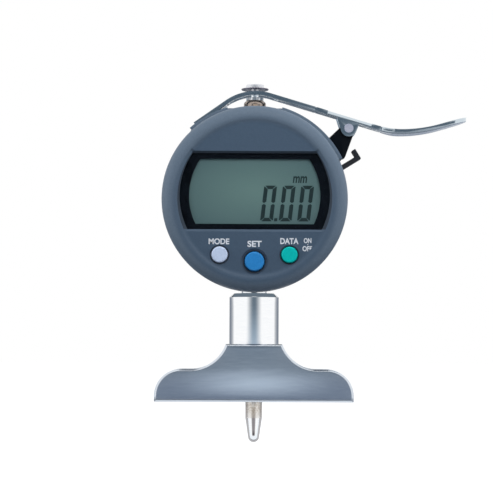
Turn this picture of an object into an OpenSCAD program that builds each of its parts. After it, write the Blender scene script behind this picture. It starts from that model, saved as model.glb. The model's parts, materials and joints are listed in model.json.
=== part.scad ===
// Digital depth gauge: a digital indicator with a lifting lever, clamped in a
// flat reference base. The origin is on the base's reference face, on the spindle
// axis. +Z is up along the spindle, +X is to the right and the face looks to -Y.

/* [Base] */
// Length of the reference base
base_w = 63.5; // [58:0.5:80]
// Depth of the base, front to back
base_d = 16; // [15:0.5:20]
// Height of the base at its hump
base_h = 18.4; // [16:0.1:22]
// Height of the shoulders beside the hump
shoulder_h = 10.4; // [9:0.1:12]
// Width of the flat top of the hump
hump_w = 18; // [16:0.1:20]
// Radius of the flare from hump to shoulder
flare_r = 12; // [9:0.5:13]
// Radius of the rounded ends
end_r = 8.5; // [4:0.5:9]
// Chamfer round the front and back edges
base_chamfer = 0.6; // [0.2:0.1:1]

/* [Sleeve and stem] */
// Diameter of the clamping sleeve
sleeve_dia = 15.8; // [14:0.1:15.9]
// Height of the sleeve above the base
sleeve_h = 16.25; // [14:0.05:20]
// Radial width of the chamfer at the top of the sleeve
sleeve_chamfer_w = 1.5; // [0.5:0.1:2.5]
// Height of that chamfer
sleeve_chamfer_h = 1.25; // [0.5:0.05:2.5]
// Diameter of the sleeve's spigot in the base
spigot_dia = 11; // [10:0.1:12.5]
// Length of the spigot
spigot_len = 8; // [5:0.5:10]
// Diameter of the indicator's stem
stem_dia = 8; // [7.5:0.1:9.5]
// Depth of the stem in the sleeve
stem_depth = 17; // [12:0.5:17]
// Diameter of the clamp screw
clamp_dia = 3; // [2:0.5:4]
// Length of the clamp screw
clamp_len = 3.4; // [2.5:0.1:3.6]
// Gap between the sleeve and the indicator
neck_gap = 0.25; // [0.2:0.05:2]

/* [Case] */
// Diameter of the fixed rear case
case_dia = 56.6; // [55.6:0.1:57.4]
// Wall of the rear case
case_wall = 2; // [1.5:0.1:3]
// Distance from the spindle axis to the case's front face
case_front = 5.5; // [5.3:0.1:7]
// Distance from the spindle axis to the case's open back
case_back = 9; // [8.8:0.1:11]
// Thickness of the front wall
front_wall = 1.6; // [1.2:0.1:1.8]
// Thickness of the back cover
cover_t = 2; // [1.5:0.1:3]
// Radius of the circle of cover screws
cover_screw_r = 23.6; // [22.5:0.1:24]
// Diameter of the battery cap
cap_dia = 21.4; // [21:0.1:23]
// Height of the battery's centre below the middle of the case
cap_drop = 9; // [7:0.5:10]
// Diameter of the coin cell
cell_dia = 20; // [16:1:20]
// Thickness of the coin cell
cell_t = 3.2; // [2:0.1:3.3]

/* [Display] */
// Diameter of the turning display housing
bezel_dia = 59; // [58.2:0.1:62]
// Distance from the spindle axis to the dished face
dish_front = 16; // [15.8:0.1:18]
// Height of the rim above the dished face
rim_h = 0.6; // [0.2:0.1:1.2]
// Radius of the rim's outer rounding
rim_r = 3.5; // [2.5:0.1:4]
// Width of the smooth step from the dished face up to the rim
rim_step = 2.4; // [1.4:0.2:3]
// Thickness of the front and side walls of the housing
housing_wall = 1.6; // [1.4:0.1:2]
// Distance from the housing's edge to the window's round sides
window_margin = 5.75; // [5.5:0.05:7]
// Height of the window
window_h = 24.1; // [21:0.1:25]
// Height of the window's centre above the middle of the case
window_up = 2.15; // [1:0.05:3]
// Bevel round the window
window_bevel = 0.7; // [0.2:0.1:0.9]
// Width of the black border at the round sides
border_side = 3; // [2:0.1:5]
// Width of the black border at the top and bottom
border_top = 1.75; // [1.5:0.05:4]
// Thickness of the circuit board
board_t = 1; // [0.8:0.1:1.2]
// Distance from the housing's edge to the neck that the display turns on
neck_margin = 9.5; // [9:0.5:12]
// Distance from the housing's edge to the housing screws
screw_margin = 4.7; // [4.3:0.1:5.3]

/* [Buttons] */
// Diameter of the outer buttons
side_button_dia = 5.1; // [4:0.1:6]
// Diameter of the middle button
middle_button_dia = 6.1; // [5:0.1:7]
// Distance of the outer buttons' middles inside the bezel's edge
side_button_margin = 8.5; // [8:0.1:9.2]
// Angle of the outer buttons from straight down
side_button_angle = 31.6; // [28:0.1:36]
// Distance of the middle button's middle inside the bezel's edge
middle_button_margin = 9.5; // [8.9:0.1:11]
// How far the buttons stand out
button_proud = 0.9; // [0.5:0.1:1.4]
// Travel of a button
button_travel = 0.5; // [0.2:0.1:0.6]
// Diameter of the sunk ring round the middle button
sunk_ring_dia = 8.2; // [7.5:0.1:9]

/* [Spindle] */
// Stroke of the spindle, with its overtravel
stroke = 13.1; // [10:0.1:13.2]
// Diameter of the spindle
spindle_dia = 4; // [3.5:0.1:4.5]
// Diameter of the spindle's upper rod
upper_rod_dia = 2.9; // [2.6:0.1:3.2]
// Diameter of the measuring rod below the spindle
rod_dia = 5.3; // [4:0.1:5.8]
// How far the point stands out below the base
reach = 13; // [10:0.5:13]
// Length of the tapered point
point_len = 7.7; // [5:0.1:9]
// Radius of the point's round end
point_tip_r = 1.75; // [0.8:0.05:2]
// Diameter of the nut that clamps the lever bracket
nut_dia = 7.2; // [6.8:0.1:8.5]
// Height of the nut
nut_h = 2.85; // [2.4:0.05:3.5]
// Diameter of the knurled collar
collar_dia = 5.6; // [4.5:0.1:6.5]
// Height of the collar
collar_h = 1; // [0.5:0.05:1.2]
// Diameter of the neck that the lever lifts
lift_neck_dia = 2.4; // [2.2:0.1:2.6]
// Length of that neck
lift_neck_len = 2.45; // [2.4:0.05:2.8]
// Diameter of the washer that the lever lifts
washer_dia = 8.9; // [7:0.1:10]
// Thickness of the washer
washer_t = 0.5; // [0.3:0.05:1]
// Diameter of the head screw
head_dia = 5.8; // [4.5:0.1:7]
// Height of the head screw
head_h = 1.3; // [1:0.1:2]

/* [Lever] */
// Thickness of the lever's sheet
lever_t = 1.2; // [0.8:0.05:1.4]
// Width of the lever's strip
lever_w = 8; // [7.4:0.1:8.4]
// Width of the thumb pad
pad_w = 12; // [9:0.5:14]
// Radius of the lever's crest
crest_r = 17; // [16:0.5:18]
// Downward slope of the long side, in degrees
lever_slope = 16.6; // [16:0.1:17.4]
// Slope of the short side, in degrees
tail_slope = 35; // [33:0.5:36]
// Straight length of the long side
lever_len = 37.7; // [36:0.1:42]
// Straight length of the short side
tail_len = 12.5; // [10:0.5:14]
// Upward slope of the thumb pad's end, in degrees
pad_slope = 16; // [8:1:20]
// Radius of the bend down to the pad
pad_bend_r = 20; // [15:1:30]
// Radius of the pad's hollow
pad_hollow_r = 45; // [35:1:60]
// Straight length at the end of the pad
pad_end_len = 9.2; // [6.5:0.1:11]
// Width of the slot round the spindle's neck
slot_w = 3.2; // [3:0.1:3.6]
// Gap between the lever and the washer
lever_gap = 0.6; // [0.3:0.05:0.7]
// Distance of the pivot along the long side, from the end of the crest
pivot_along = 27.2; // [26:0.1:28]
// Depth of the pivot below the lever's top face
pivot_depth = 3.6; // [3.3:0.1:4]
// Diameter of the pivot pin
pin_dia = 1.8; // [1.4:0.1:2]
// Diameter of the riveted heads of the pin
pin_head_dia = 2.85; // [2.5:0.05:3.4]
// Radius of the lever's ears round the pin
ear_r = 2.6; // [1.9:0.1:2.7]
// Thickness of the ears
ear_t = 1.1; // [0.8:0.1:1.2]

/* [Bracket] */
// Width of the bracket, front to back
bracket_w = 10.4; // [10.2:0.1:10.4]
// Thickness of the saddle
saddle_t = 2.9; // [2.5:0.1:3.2]
// Angle of the saddle's left end
saddle_left = 132; // [128:1:140]
// Angle of the saddle's right end
saddle_right = 26; // [24:1:27]
// Width of the flat under the nut
flat_w = 17.6; // [12:0.1:18]
// Thickness of the saddle under the nut
flat_t = 1.25; // [1:0.05:1.5]
// Radius of the boss round the pivot pin
arm_boss_r = 2.1; // [1.7:0.1:2.1]

/* [Port cover] */
// Angle of the data port round the case
port_angle = 10; // [6:0.5:12]
// Height of the port
port_h = 9; // [7:0.5:10]
// Width of the port, front to back
port_w = 6; // [5:0.5:7]
// Length of the pull tab's arm
tab_len = 7.8; // [6:0.1:8.2]
// Length of the pull tab's hook
tab_hook = 3.6; // [2:0.1:4]
// Thickness of the pull tab
tab_t = 1.4; // [1:0.1:1.8]

/* [Fits] */
// Radial clearance of pieces that stay put
fit = 0.03; // [0.02:0.01:0.04]
// Radial clearance of pieces that slide or turn
run = 0.05; // [0.03:0.01:0.08]

/* [Hidden] */
$fn = 96;
// How far a cutter reaches past the face that it cuts
cut = 1;
// How far fused shapes reach into each other
weld = 0.5;
// Gap between stacked pieces
seat_gap = 0.1;

// Points and directions in the XZ plane
function polar(r, a) = [r*cos(a), r*sin(a)];
function case_point(r, a) = [r*cos(a), body_z + r*sin(a)];
// Point where the line from p touches the circle of radius r about c, on the given side
function touch(p, c, r, side) =
    let (d = p - c, l = norm(d), a = atan2(d[1], d[0]) + side*acos(r/l))
    c + polar(r, a);
function arc_points(c, r, a0, a1, n) = [for (i = [0:n]) c + polar(r, a0 + (a1 - a0)*i/n)];
function reversed(v) = [for (i = [len(v) - 1:-1:0]) v[i]];

sleeve_top = base_h + sleeve_h;
case_r = case_dia/2;
bezel_r = bezel_dia/2;
boss_drop = 0.6;
boss_rise = 3.9;
body_z = sleeve_top + neck_gap + max(bezel_r, case_r + boss_drop);
wall_in = case_front - front_wall;
case_in = case_r - case_wall;
base_bore = rod_dia + 1.1;
// Kept to whole microns, so that the chamfers on either side meet exactly
flare_x = round(1000*(hump_w/2 + sqrt(pow(flare_r, 2) - pow(shoulder_h + flare_r - base_h, 2))))/1000;
clamp_z = base_h + sleeve_h/2;
cover_angles = [45, 135, 225, 315];
cover_post_r = 2.2;
screw_r = 1;
screw_len = 6;
screw_room = 0.5;

stem_bottom = sleeve_top - stem_depth;
boss_r = stem_dia/2 + 1.2;
boss_bottom = body_z - case_r - boss_drop;
boss_top = body_z - case_r + boss_rise;
bush_len = 9;
bush_dia = stem_dia - 2.4;
stem_flange_t = 1.2;
flange_r = stem_dia/2 + 0.7;

swivel_gap = 0.5;
plate_t = 2.4;
display_back = case_front + swivel_gap;
plate_front = display_back + plate_t;
neck_r = bezel_r - neck_margin;
housing_screw_r = bezel_r - screw_margin;
window_r = bezel_r - window_margin;
ring_t = 1.5;
ring_back = plate_front + run;
ring_step = 1.2;
ring_lip = 3;
neck_wall = 3;
seal_r = neck_r + 2;
seal_t = 0.75;
seal_sec = 0.65;
seal_floor = case_front - 1.3*seal_t;
cable_x = 10;
cable_hole_r = 3;
housing_angles = [60, 120, 218, 322];
housing_screw = 0.7;
housing_screw_len = 5;
board_gap = 0.9;
board_room = 0.3;
board_back = plate_front + ring_t + board_gap;
board_front = board_back + board_t;
wall_back = dish_front - housing_wall;
housing_in = bezel_r - 2;
mask_t = 0.5;
window_t = 0.6;
window_sink = 0.5;
window_front = dish_front - window_sink;
lcd_front = window_front - window_t - mask_t - seat_gap;
strip_h = 0.8;
lcd_back = board_front + strip_h;
lcd_margin = 1.6;
window_cy = 0.85;
post_r = 1.6;
post_step = 0.6;
strip_len = 34;
strip_w = 1.6;
button_gap = 0.25;
sunk_ring_depth = 0.5;
button_flange_t = 0.7;
button_flange_w = 0.7;
flange_back = wall_back - seat_gap - button_flange_t;
switch_r = 1.8;
side_place = polar(bezel_r - side_button_margin, side_button_angle - 90);
middle_place = [0, middle_button_margin - bezel_r];

spot_z = body_z + case_r + fit + flat_t;
nut_top = spot_z + nut_h;
collar_z = nut_top + run;
collar_top = collar_z + collar_h;
washer_z = collar_top + lift_neck_len;
washer_top = washer_z + washer_t;
head_top = washer_top + head_h;
top_bush_dia = 5;
top_boss_r = 4.5;
bush_head_t = 1;
bush_head_r = top_boss_r - 0.7;
bush_seat = body_z + case_in - 2.2;
top_bush_bottom = bush_seat - bush_head_t;
end_room = 0.7;
spindle_bottom = stem_bottom - stroke - end_room;
step_z = top_bush_bottom - stroke - end_room;
stud_dia = 2.5;
stud_len = 5;
stud_room = 0.3;
screw_shank = 1.5;
shank_len = 4;
point_stud_len = 4;
nut_roof = 1.1;
nut_round = 1.2;

carrier_up = 14.3;
carrier_z = body_z - case_in + carrier_up;
carrier_h = 6;
carrier_w = 7;
carrier_room = 0.9;
scale_t = 0.8;
carrier_back = spindle_dia/2 + 0.4;
sensor_gap = 0.2;
sensor_t = 1;
sensor_front = carrier_back + scale_t + sensor_gap;
sensor_back = sensor_front + sensor_t;
guide_pin_dia = 1.6;
pin_wall = 0.6;
rail_w = 3;
rail_web = 0.6;
rail_over = 1;
rail_x = carrier_w/2 + 0.4;
rail_back = carrier_back;
sensor_w = 24.8;
sensor_h = 26;
sensor_post_x = 10.5;
sensor_post_y = 10;
sensor_post_r = 1.4;
scale_w = 6;
scale_len = 22;
carrier_arm_h = 3;
arm_z = carrier_z + 2;
spring_x = -6.5;
spring_dia = 3;
anchor_r = 0.8;
anchor_z = carrier_z - stroke + 2;

cup_floor = sensor_back + 2*seat_gap;
cup_floor_t = 0.5;
cell_room = 0.3;
cell_back = case_back - cell_room;
cell_front = cell_back - cell_t;
cup_r = cap_dia/2 + run;
cup_wall = 0.9;

crest_x = 0.3;
crest_z = washer_z - lever_gap;
crest_c = [crest_x, crest_z - crest_r];
long_start = crest_c + polar(crest_r, 90 - lever_slope);
long_dir = polar(1, -lever_slope);
long_normal = polar(1, 90 - lever_slope);
pivot = long_start + pivot_along*long_dir - pivot_depth*long_normal;
// Turn of the lever that lifts its crest by the whole stroke
crest_arm = pivot - crest_c;
lift_angle = asin((stroke - crest_arm[1])/norm(crest_arm)) + atan2(crest_arm[1], crest_arm[0]);
slot_right = 7.5;
slot_left = crest_x - crest_r*sin(lift_angle) - 2.5;
saddle_in = case_r + fit;
saddle_out = saddle_in + saddle_t;
groove_floor = saddle_in + 1;
groove_gap = 0.25;
arm_w = lever_w - 2*ear_t - 0.4;
arm_left = 40.5;
arm_shoulder = [-3.3, -0.1];
tail_start = crest_c + polar(crest_r, 90 + tail_slope);
pad_bend_c = long_start + lever_len*long_dir + pad_bend_r*long_normal;
pad_low = pad_bend_c - [0, pad_bend_r];
pad_hollow_c = pad_low + [0, pad_hollow_r];
pad_end = pad_hollow_c + polar(pad_hollow_r, pad_slope - 90);
pad_tip = pad_end + polar(pad_end_len, pad_slope);
ear_left = 5.2;
ear_right = 2.9;
fold_left = ear_left + 2.8;
fold_right = ear_right + 3.8;
nick_left = 12;
nick_right = 10;
port_plate_t = 1;
plug_depth = case_wall + 1.5;
tab_angle = 31.6;
tab_root = 19.5;
tab_w = 6;

// Places a shape drawn in front view, with its third direction towards the front
module facing() {
    translate([0, 0, body_z]) rotate([90, 0, 0]) children();
}

// Extrudes an outline in the XZ plane evenly about the spindle axis
module across(w) {
    translate([0, w/2, 0]) rotate([90, 0, 0]) linear_extrude(w) children();
}

// Disc in the front view frame, from one depth to another
module slab(r, f0, f1) {
    translate([0, 0, f0]) cylinder(r = r, h = f1 - f0);
}

module ring(r_out, r_in, f0, f1) {
    difference() {
        slab(r_out, f0, f1);
        slab(r_in, f0 - cut, f1 + cut);
    }
}

// Copies along a circle in the front view frame
module around(r, angles) {
    for (a = angles) translate([r*cos(a), r*sin(a), 0]) children();
}

// Cutter for a 45 degree chamfer of size c on a corner at the origin, in its own plane
module chamfer_section(c) {
    e = 0.5;
    polygon([[-e, -c - e], [c + e, e], [-e, e]]);
}

module base_profile() {
    translate([-base_w/2 + end_r, 0]) square([base_w - 2*end_r, shoulder_h]);
    translate([-base_w/2, 0]) square([base_w, shoulder_h - end_r]);
    intersection() {
        for (s = [-1, 1]) translate([s*(base_w/2 - end_r), shoulder_h - end_r]) circle(end_r);
        translate([-base_w/2, 0]) square([base_w, shoulder_h]);
    }
    difference() {
        translate([-flare_x, shoulder_h/2]) square([2*flare_x, base_h - shoulder_h/2]);
        for (s = [-1, 1]) translate([s*flare_x, shoulder_h + flare_r]) circle(flare_r);
    }
}

// Chamfers of the right half of the front edge
module base_edge_cuts() {
    c = base_chamfer;
    e = 0.5;
    end_x = base_w/2 - end_r;
    end_z = shoulder_h - end_r;
    rotate([90, 0, 90]) linear_extrude(hump_w/2 + cut) translate([0, base_h]) chamfer_section(c);
    rotate([90, 0, 90]) linear_extrude(base_w/2 + cut) mirror([0, 1, 0]) chamfer_section(c);
    translate([flare_x, 0, shoulder_h + flare_r]) rotate([-90, 0, 0]) translate([0, 0, -e])
        cylinder(r1 = flare_r + c + e, r2 = flare_r - e, h = c + 2*e);
    translate([flare_x, 0, 0]) rotate([90, 0, 90]) linear_extrude(end_x - flare_x)
        translate([0, shoulder_h]) chamfer_section(c);
    translate([end_x, 0, end_z]) rotate([90, 0, 0]) rotate_extrude(angle = 90)
        polygon([[end_r - c - e, e], [end_r + e, -c - e], [end_r + e, e]]);
    translate([0, 0, -cut]) linear_extrude(end_z + cut)
        polygon([[base_w/2 - c - e, -e], [base_w/2 + e, c + e], [base_w/2 + e, -e]]);
}

module base() {
    color([0.47, 0.52, 0.59]) difference() {
        across(base_d) base_profile();
        for (m = [0, 1], n = [0, 1]) mirror([m, 0, 0]) mirror([0, n, 0])
            translate([0, -base_d/2, 0]) base_edge_cuts();
        translate([0, 0, -cut]) cylinder(d = base_bore, h = base_h);
        translate([0, 0, base_h - spigot_len]) cylinder(d = spigot_dia + 2*fit, h = spigot_len + cut);
    }
}

module sleeve() {
    seat = stem_bottom - 2*seat_gap;
    color([0.75, 0.78, 0.81]) difference() {
        rotate_extrude() polygon([
            [base_bore/2, base_h - spigot_len], [spigot_dia/2, base_h - spigot_len],
            [spigot_dia/2, base_h], [sleeve_dia/2, base_h],
            [sleeve_dia/2, sleeve_top - sleeve_chamfer_h],
            [sleeve_dia/2 - sleeve_chamfer_w, sleeve_top], [stem_dia/2 + fit, sleeve_top],
            [stem_dia/2 + fit, seat], [base_bore/2, seat]]);
        translate([0, 0, clamp_z]) rotate([-90, 0, 0])
            cylinder(d = clamp_dia + 2*fit, h = sleeve_dia);
    }
}

module clamp_screw() {
    socket = 0.45*clamp_dia;
    color([0.25, 0.25, 0.27]) translate([0, stem_dia/2 + fit, clamp_z]) rotate([-90, 0, 0])
        difference() {
            cylinder(d = clamp_dia, h = clamp_len);
            translate([0, 0, clamp_len - socket]) cylinder(d = socket*1.15, h = socket + cut, $fn = 6);
        }
}

module stem() {
    color([0.7, 0.73, 0.76]) rotate_extrude() polygon([
        [bush_dia/2, stem_bottom], [stem_dia/2, stem_bottom], [stem_dia/2, boss_top],
        [flange_r, boss_top], [flange_r, boss_top + stem_flange_t],
        [bush_dia/2, boss_top + stem_flange_t]]);
}

module lower_bush() {
    color([0.72, 0.6, 0.35]) translate([0, 0, stem_bottom]) difference() {
        cylinder(d = bush_dia - 2*fit, h = bush_len);
        translate([0, 0, -cut]) cylinder(d = spindle_dia + 2*run, h = bush_len + 2*cut);
    }
}

module case_shell() {
    ring(case_r, case_in, -case_back, case_front);
    slab(case_in + weld, wall_in, case_front);
    ring(neck_r, neck_r - neck_wall, wall_in, ring_back);
    ring(neck_r - ring_step, neck_r - neck_wall, wall_in, ring_back + ring_t);
    around(cover_screw_r, cover_angles) slab(cover_post_r, -case_back, wall_in + weld);
    for (x = [-sensor_post_x, sensor_post_x], y = [-sensor_post_y, sensor_post_y])
        translate([x, y, 0]) slab(sensor_post_r, -sensor_front, wall_in + weld);
    translate([spring_x, anchor_z - body_z, 0]) slab(anchor_r, -spring_dia/2, wall_in + weld);
}

module rear_case() {
    color([0.22, 0.24, 0.27]) difference() {
        union() {
            facing() case_shell();
            translate([0, 0, boss_bottom]) cylinder(r = boss_r, h = boss_top - boss_bottom);
            translate([0, 0, bush_seat])
                cylinder(r = top_boss_r, h = body_z + case_in + weld - bush_seat);
        }
        translate([0, 0, boss_bottom - cut])
            cylinder(d = stem_dia + 2*fit, h = boss_top - boss_bottom + 2*cut);
        translate([0, 0, boss_top]) cylinder(r = flange_r + fit, h = stem_flange_t + fit);
        translate([0, 0, bush_seat - cut])
            cylinder(d = top_bush_dia + 2*fit, h = body_z + case_r + 2*cut - bush_seat);
        facing() {
            ring(seal_r + seal_t, seal_r - seal_t, seal_floor, case_front + cut);
            translate([cable_x, 0, 0]) slab(cable_hole_r, wall_in - cut, case_front + cut);
            around(cover_screw_r, cover_angles)
                slab(screw_r + fit, -case_back - cut, screw_len - case_back - cover_t + screw_room);
            rotate([0, 0, port_angle]) translate([case_in - 2*cut, -port_h/2, -port_w/2])
                cube([case_wall + 4*cut, port_h, port_w]);
        }
    }
}

// Countersunk screw pointing to the front, with its head flush at depth f
module flush_screw(f, r, length) {
    translate([0, 0, f]) {
        cylinder(r1 = 2*r, r2 = r, h = r);
        cylinder(r = r, h = length);
    }
}

module flush_screw_hole(f, r, through) {
    translate([0, 0, f]) {
        translate([0, 0, -cut]) cylinder(r = r + fit, h = through + 2*cut);
        translate([0, 0, -fit]) cylinder(r1 = 2*r + 2*fit, r2 = r, h = r + 2*fit);
        translate([0, 0, -cut]) cylinder(r = 2*r + 2*fit, h = cut);
    }
}

module back_cover() {
    edge = 0.8;
    back = -case_back - cover_t;
    color([0.24, 0.26, 0.29]) facing() difference() {
        union() {
            translate([0, 0, back]) rotate_extrude() polygon([
                [0, 0], [case_r - edge, 0], [case_r, edge], [case_r, cover_t], [0, cover_t]]);
            translate([0, -cap_drop, 0]) slab(cup_r + cup_wall, back + edge, -cup_floor);
        }
        around(cover_screw_r, cover_angles) flush_screw_hole(back, screw_r, cover_t);
        translate([0, -cap_drop, 0]) slab(cup_r, back - cut, -cup_floor - cup_floor_t);
    }
}

module cover_screws() {
    color([0.55, 0.57, 0.6]) facing() around(cover_screw_r, cover_angles) difference() {
        flush_screw(-case_back - cover_t, screw_r, screw_len);
        cross_slot(-case_back - cover_t);
    }
}

// Cross recess of a small screw whose head is at depth f
module cross_slot(f) {
    slot_half = 0.18;
    slot_depth = 0.4;
    for (a = [0, 90]) rotate([0, 0, a]) translate([-screw_r, -slot_half, f - cut])
        cube([2*screw_r, 2*slot_half, cut + slot_depth]);
}

module battery() {
    rim = 0.5;
    step = 1;
    color([0.78, 0.79, 0.8]) facing() translate([0, -cap_drop, 0]) {
        slab(cell_dia/2, -cell_back, -cell_front - rim);
        slab(cell_dia/2 - step, -cell_front - rim, -cell_front);
    }
}

module battery_contact() {
    tongue = 0.7*cell_dia;
    width = 0.2*cell_dia;
    color([0.8, 0.72, 0.45]) facing() translate([0, -cap_drop, -cell_front]) {
        linear_extrude(cell_front - cup_floor - cup_floor_t) union() {
            square([tongue, width], center = true);
            circle(width);
        }
    }
}

module battery_cap() {
    edge = 0.3;
    back = -case_back - cover_t - edge;
    height = -cell_back - back - seat_gap;
    slot_half = 0.9;
    slot_depth = 1;
    color([0.2, 0.22, 0.25]) facing() translate([0, -cap_drop, 0]) difference() {
        translate([0, 0, back]) rotate_extrude() polygon([
            [0, 0], [cap_dia/2 - edge, 0], [cap_dia/2, edge],
            [cap_dia/2, height], [0, height]]);
        translate([-0.33*cap_dia, -slot_half, back - cut])
            cube([0.66*cap_dia, 2*slot_half, cut + slot_depth]);
    }
}

module sensor_board() {
    color([0.1, 0.35, 0.2]) facing() difference() {
        translate([-sensor_w/2, -sensor_h/2, -sensor_back]) cube([sensor_w, sensor_h, sensor_t]);
        for (x = [-sensor_post_x, sensor_post_x], y = [-sensor_post_y, sensor_post_y])
            translate([x, y, 0]) slab(sensor_post_r/2, -sensor_back - cut, 0);
    }
}

// Channel that the guide pin runs in, so that the spindle can't turn
module guide_rail() {
    z0 = carrier_z + carrier_h/2 - guide_pin_dia - rail_over;
    length = stroke + 2*guide_pin_dia + 2*rail_over;
    color([0.6, 0.62, 0.65]) difference() {
        translate([rail_x, -wall_in, z0]) cube([rail_w, wall_in + rail_back, length]);
        translate([rail_x - cut, -guide_pin_dia/2 - run, z0 - cut])
            cube([cut + rail_w - rail_web, guide_pin_dia + 2*run, length + 2*cut]);
    }
}

module swivel_seal() {
    color([0.08, 0.08, 0.08]) facing() translate([0, 0, seal_floor + seal_sec])
        rotate_extrude() translate([seal_r, 0]) circle(seal_sec);
}

module retaining_ring() {
    color([0.65, 0.67, 0.7]) facing()
        ring(neck_r + ring_lip, neck_r - ring_step + fit, ring_back, ring_back + ring_t);
}

module housing_profile() {
    rim_front = dish_front + rim_h;
    crest = bezel_r - rim_r;
    half = rim_step/2;
    step_r = (pow(rim_step, 2) + pow(rim_h, 2))/(4*rim_h);
    back_edge = [0.6, 1.2];
    translate([0, wall_back]) square([crest, housing_wall]);
    difference() {
        translate([crest - rim_step, wall_back]) square([half, housing_wall + rim_h/2]);
        translate([crest - rim_step, dish_front + step_r]) circle(step_r);
    }
    intersection() {
        translate([crest - half, wall_back]) square([half, housing_wall + rim_h]);
        translate([crest, rim_front - step_r]) circle(step_r);
    }
    translate([crest, rim_front - rim_r]) intersection() {
        circle(rim_r);
        square(rim_r + cut);
    }
    polygon([[housing_in, display_back], [bezel_r - back_edge[0], display_back],
        [bezel_r, display_back + back_edge[1]], [bezel_r, rim_front - rim_r],
        [housing_in, rim_front - rim_r]]);
}

// Window outline, grown by g on every side
module window_shape(g) {
    intersection() {
        translate([0, window_cy]) circle(window_r + g);
        translate([-2*window_r, window_up - window_h/2 - g]) square([4*window_r, window_h + 2*g]);
    }
}

module mask_opening(g) {
    intersection() {
        translate([0, window_cy]) circle(window_r - border_side + g);
        translate([-2*window_r, window_up - window_h/2 + border_top - g])
            square([4*window_r, window_h - 2*border_top + 2*g]);
    }
}

// Bevelled sides of the window's opening
module window_bevel_cut() {
    depth = dish_front - window_front;
    over = 2;
    grow = over*window_bevel;
    low = window_up - window_h/2;
    intersection() {
        translate([0, window_cy, window_front])
            cylinder(r1 = window_r, r2 = window_r + grow, h = over*depth);
        translate([-2*window_r, 0, 0]) rotate([90, 0, 90]) linear_extrude(4*window_r)
            polygon([[low, window_front], [low + window_h, window_front],
                [low + window_h + grow, window_front + over*depth],
                [low - grow, window_front + over*depth]]);
    }
}

module at_buttons() {
    for (s = [-1, 1]) translate([s*side_place[0], side_place[1]]) children(0);
    translate(middle_place) children(1);
}

module display_housing() {
    color([0.33, 0.38, 0.45]) facing() difference() {
        union() {
            rotate_extrude() housing_profile();
            around(housing_screw_r, housing_angles) {
                slab(post_r, plate_front, wall_back + weld);
                slab(post_r + post_step, board_front + run, wall_back + weld);
            }
        }
        translate([0, 0, wall_back - cut]) linear_extrude(housing_wall + 2*cut) window_shape(0);
        window_bevel_cut();
        at_buttons() {
            slab(side_button_dia/2 + button_gap, wall_back - cut, dish_front + cut);
            union() {
                slab(middle_button_dia/2 + button_gap, wall_back - cut, dish_front + cut);
                slab(sunk_ring_dia/2, dish_front - sunk_ring_depth, dish_front + cut);
            }
        }
        around(housing_screw_r, housing_angles)
            slab(housing_screw + fit, plate_front - cut, display_back + housing_screw_len + seat_gap);
    }
}

module display_back_plate() {
    color([0.2, 0.22, 0.25]) facing() difference() {
        ring(housing_in - fit, neck_r + run, display_back, plate_front);
        around(housing_screw_r, housing_angles)
            flush_screw_hole(display_back, housing_screw, plate_front - display_back);
    }
}

module housing_screws() {
    color([0.55, 0.57, 0.6]) facing() around(housing_screw_r, housing_angles)
        flush_screw(display_back, housing_screw, housing_screw_len);
}

module window_mask() {
    color([0.04, 0.05, 0.06]) facing() translate([0, 0, window_front - window_t - mask_t])
        linear_extrude(mask_t) difference() {
            window_shape(-fit);
            mask_opening(0);
        }
}

module display_window() {
    color([0.75, 0.85, 0.85, 0.4]) facing() translate([0, 0, window_front - window_t])
        linear_extrude(window_t) window_shape(-fit);
}

module lcd_panel() {
    color([0.39, 0.49, 0.47]) facing() translate([0, 0, lcd_back])
        linear_extrude(lcd_front - lcd_back) mask_opening(lcd_margin);
}

module contact_strips() {
    half = window_h/2 - border_top + lcd_margin - 0.75*strip_w;
    color([0.85, 0.55, 0.55]) facing() for (s = [-1, 1])
        translate([-strip_len/2, window_up + s*half - strip_w/2, board_front])
            cube([strip_len, strip_w, lcd_back - board_front]);
}

module circuit_board() {
    color([0.08, 0.3, 0.2]) facing() difference() {
        slab(housing_in - board_room, board_back, board_front);
        around(housing_screw_r, housing_angles) slab(post_r + run, board_back - cut, board_front + cut);
    }
}

module key_switches() {
    top = flange_back - button_travel - seat_gap;
    color([0.75, 0.75, 0.7]) facing() at_buttons() {
        slab(switch_r, board_front, top);
        slab(switch_r, board_front, top);
    }
}

// Button cap with a rounded edge, and the flange that keeps it in the housing
module button(d) {
    edge = 0.5;
    front = dish_front + button_proud;
    translate([0, 0, flange_back]) cylinder(r = d/2 + button_flange_w, h = button_flange_t);
    rotate_extrude() {
        translate([0, flange_back]) square([d/2 - edge, front - flange_back]);
        translate([0, flange_back]) square([d/2, front - flange_back - edge]);
        intersection() {
            translate([d/2 - edge, front - edge]) circle(edge);
            translate([d/2 - edge, front - edge]) square(edge);
        }
    }
}

module mode_button() {
    color([0.75, 0.8, 0.9]) facing() translate([-side_place[0], side_place[1]])
        button(side_button_dia);
}

module set_button() {
    color([0.17, 0.48, 0.72]) facing() translate(middle_place) button(middle_button_dia);
}

module data_button() {
    color([0.05, 0.67, 0.67]) facing() translate(side_place) button(side_button_dia);
}

module spindle() {
    color([0.72, 0.74, 0.77]) difference() {
        union() {
            translate([0, 0, spindle_bottom]) cylinder(d = spindle_dia, h = step_z - spindle_bottom);
            translate([0, 0, step_z - weld])
                cylinder(d = upper_rod_dia, h = collar_top - step_z + weld);
            translate([0, 0, collar_top - weld]) cylinder(d = lift_neck_dia, h = lift_neck_len + weld);
        }
        translate([0, 0, spindle_bottom - cut])
            cylinder(d = stud_dia + 2*fit, h = stud_len + cut + stud_room);
        translate([0, 0, washer_z - shank_len - stud_room])
            cylinder(d = screw_shank + 2*fit, h = shank_len + 2*cut);
    }
}

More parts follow.
